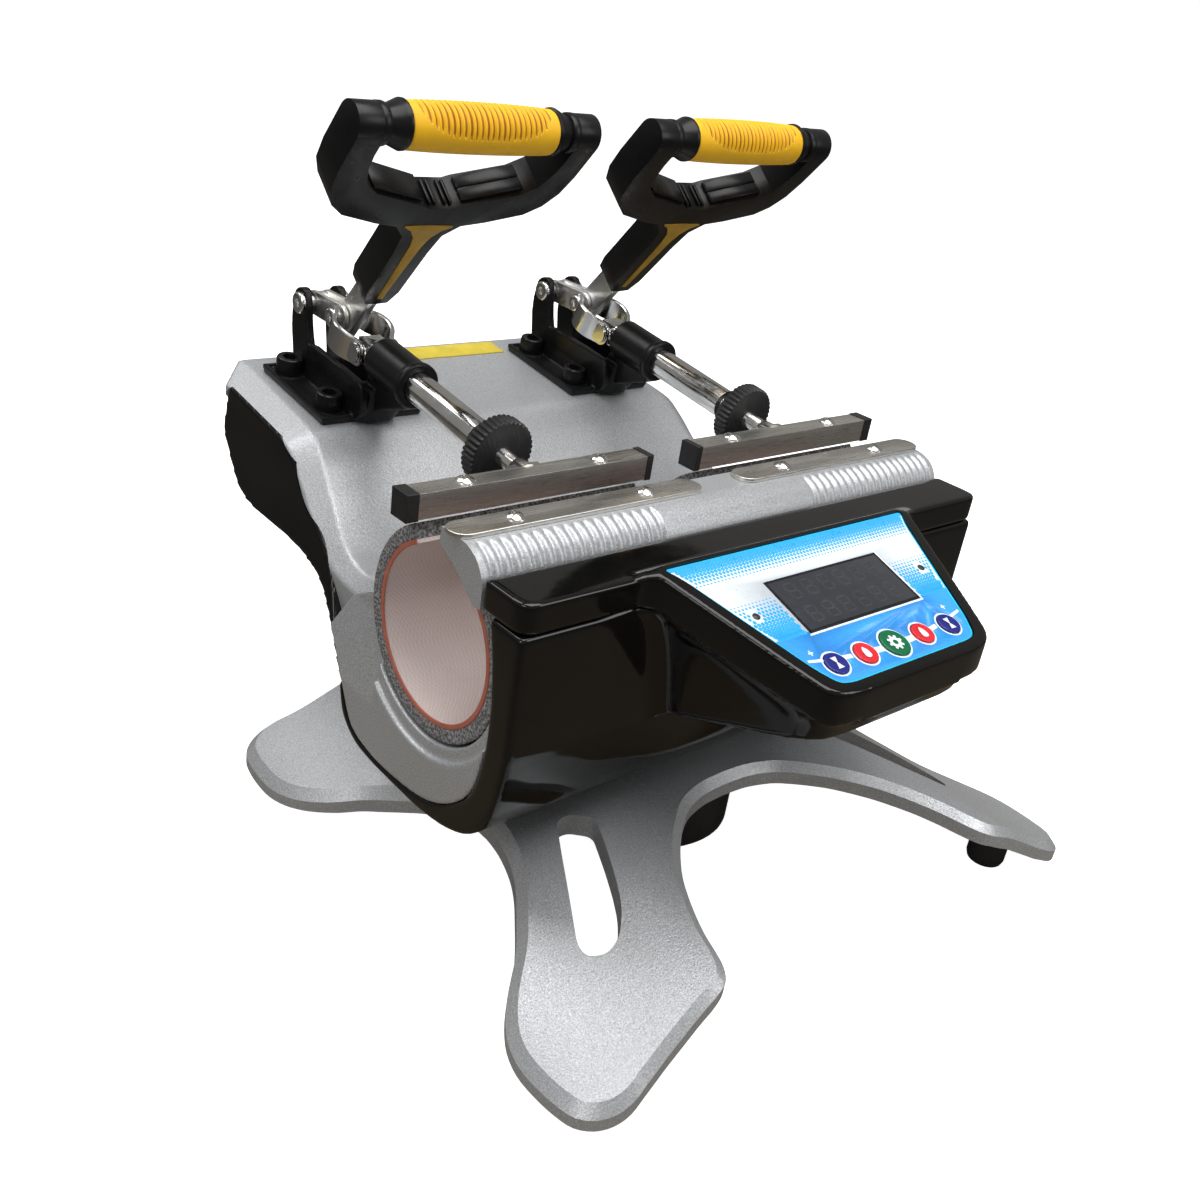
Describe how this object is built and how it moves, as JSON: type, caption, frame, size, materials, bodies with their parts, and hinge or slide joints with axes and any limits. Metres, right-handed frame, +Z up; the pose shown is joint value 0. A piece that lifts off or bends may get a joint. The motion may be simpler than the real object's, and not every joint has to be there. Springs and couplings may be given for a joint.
{
  "type": "mug heat press",
  "caption": "Mug heat press with side-by-side cylindrical heater wraps, push-pull toggle clamps with gripped loop handles, a slanted control console and an arched foot casting.",
  "frame": {"origin": "middle of the footprint at the bottom of the rubber feet", "axes": "+Z up, +X to the operator's right, -Y towards the operator"},
  "size_m": [0.3882, 0.455, 0.3886],
  "materials": {
    "silver_paint": "satin silver powder coat",
    "gloss_black": "gloss black",
    "black_paint": "satin black",
    "black_plastic": "matt black",
    "stainless": "brushed lengthwise",
    "chrome": "bright",
    "yellow_grip": "satin yellow",
    "inlay_yellow": "matt ochre",
    "black_rubber": "matt",
    "overlay": "printed blue film",
    "display": "clear over dark grey",
    "button_navy": "gloss",
    "button_red": "gloss",
    "button_green": "gloss",
    "circuit_board": "green solder mask",
    "label": "plain yellow",
    "switch_red": "gloss",
    "foam": "grey sponge",
    "liner": "pale silicone"
  },
  "bodies": {
    "machine": {"base_casting": "silver_paint", "rubber_feet": "black_rubber", "foot_screws": "chrome", "hub_cover": "black_plastic", "body_bolts": "stainless", "rear_housing": "silver_paint", "end_frame_left": "silver_paint", "end_frame_right": "silver_paint", "side_panel_left": "gloss_black", "side_panel_right": "gloss_black", "lower_shell": "gloss_black", "front_cover": "gloss_black", "ridge_cap": "silver_paint", "strip_left": "stainless", "strip_right": "stainless", "strip_screws": "chrome", "control_panel": "overlay", "display_window": "display", "indicator_lights": "black_plastic", "control_board": "circuit_board", "label_plate": "label", "power_inlet": "black_plastic", "clamp_base_left": "black_paint", "clamp_base_right": "black_paint", "clamp_bolts_left": "black_paint", "clamp_bolts_right": "black_paint", "pivot_pin_left": "chrome", "pivot_pin_right": "chrome", "wrap_foam_left": "foam", "wrap_foam_right": "foam", "wrap_liner_left": "liner", "wrap_liner_right": "liner"},
    "lever_left": {"lever_left": "chrome", "handle_left": "black_paint", "grip_left": "yellow_grip", "inlay_left": "inlay_yellow"},
    "ring_left": {"ring_left": "chrome"},
    "plunger_left": {"plunger_left": "chrome", "bar_left": "stainless", "bar_caps_left": "black_plastic", "bar_screws_left": "chrome"},
    "knob_left": {"knob_left": "black_plastic"},
    "lever_right": {"lever_right": "chrome", "handle_right": "black_paint", "grip_right": "yellow_grip", "inlay_right": "inlay_yellow"},
    "ring_right": {"ring_right": "chrome"},
    "plunger_right": {"plunger_right": "chrome", "bar_right": "stainless", "bar_caps_right": "black_plastic", "bar_screws_right": "chrome"},
    "knob_right": {"knob_right": "black_plastic"},
    "button_1": {"button_1": "button_navy"},
    "button_2": {"button_2": "button_red"},
    "button_3": {"button_3": "button_green"},
    "button_4": {"button_4": "button_red"},
    "button_5": {"button_5": "button_navy"},
    "power_switch": {"power_switch": "switch_red"}
  },
  "joints": [
    {"name": "lever_left_hinge", "type": "hinge", "parent": "machine", "child": "lever_left", "pos_m": [-0.0927, 0.19998, 0.24897], "axis": [-1, 0, 0], "range_deg": [0, 35]},
    {"name": "ring_left_hinge", "type": "hinge", "parent": "lever_left", "child": "ring_left", "pos_m": [-0.0927, 0.16836, 0.24865], "axis": [-1, 0, 0], "range_deg": [-72, 0]},
    {"name": "plunger_left_slide", "type": "slide", "parent": "machine", "child": "plunger_left", "axis": [0, 0.9919, 0.1271], "range_m": [0, 0.0172]},
    {"name": "knob_left_turn", "type": "hinge", "parent": "plunger_left", "child": "knob_left", "pos_m": [-0.0927, 0.01252, 0.22093], "axis": [0, 0.9919, 0.1271], "continuous": true},
    {"name": "lever_right_hinge", "type": "hinge", "parent": "machine", "child": "lever_right", "pos_m": [0.0927, 0.19998, 0.24897], "axis": [-1, 0, 0], "range_deg": [0, 35]},
    {"name": "ring_right_hinge", "type": "hinge", "parent": "lever_right", "child": "ring_right", "pos_m": [0.0927, 0.16836, 0.24865], "axis": [-1, 0, 0], "range_deg": [-72, 0]},
    {"name": "plunger_right_slide", "type": "slide", "parent": "machine", "child": "plunger_right", "axis": [0, 0.9919, 0.1271], "range_m": [0, 0.0172]},
    {"name": "knob_right_turn", "type": "hinge", "parent": "plunger_right", "child": "knob_right", "pos_m": [0.0927, 0.01252, 0.22093], "axis": [0, 0.9919, 0.1271], "continuous": true},
    {"name": "button_1_press", "type": "slide", "parent": "machine", "child": "button_1", "axis": [0, 0.2996, -0.9541], "range_m": [0, 0.0012], "stiffness_N_per_m": 600},
    {"name": "button_2_press", "type": "slide", "parent": "machine", "child": "button_2", "axis": [0, 0.2996, -0.9541], "range_m": [0, 0.0012], "stiffness_N_per_m": 600},
    {"name": "button_3_press", "type": "slide", "parent": "machine", "child": "button_3", "axis": [0, 0.2996, -0.9541], "range_m": [0, 0.0012], "stiffness_N_per_m": 600},
    {"name": "button_4_press", "type": "slide", "parent": "machine", "child": "button_4", "axis": [0, 0.2996, -0.9541], "range_m": [0, 0.0012], "stiffness_N_per_m": 600},
    {"name": "button_5_press", "type": "slide", "parent": "machine", "child": "button_5", "axis": [0, 0.2996, -0.9541], "range_m": [0, 0.0012], "stiffness_N_per_m": 600},
    {"name": "power_switch_rock", "type": "hinge", "parent": "machine", "child": "power_switch", "pos_m": [0.108, 0.196, 0.157], "axis": [1, 0, 0], "range_deg": [0, 16]}
  ],
  "couplings": [
    {"joint": "ring_left_hinge", "follows": "lever_left_hinge", "ratio": -2.04},
    {"joint": "plunger_left_slide", "follows": "lever_left_hinge", "m_per_rad": 0.02783},
    {"joint": "ring_right_hinge", "follows": "lever_right_hinge", "ratio": -2.04},
    {"joint": "plunger_right_slide", "follows": "lever_right_hinge", "m_per_rad": 0.02783}
  ]
}
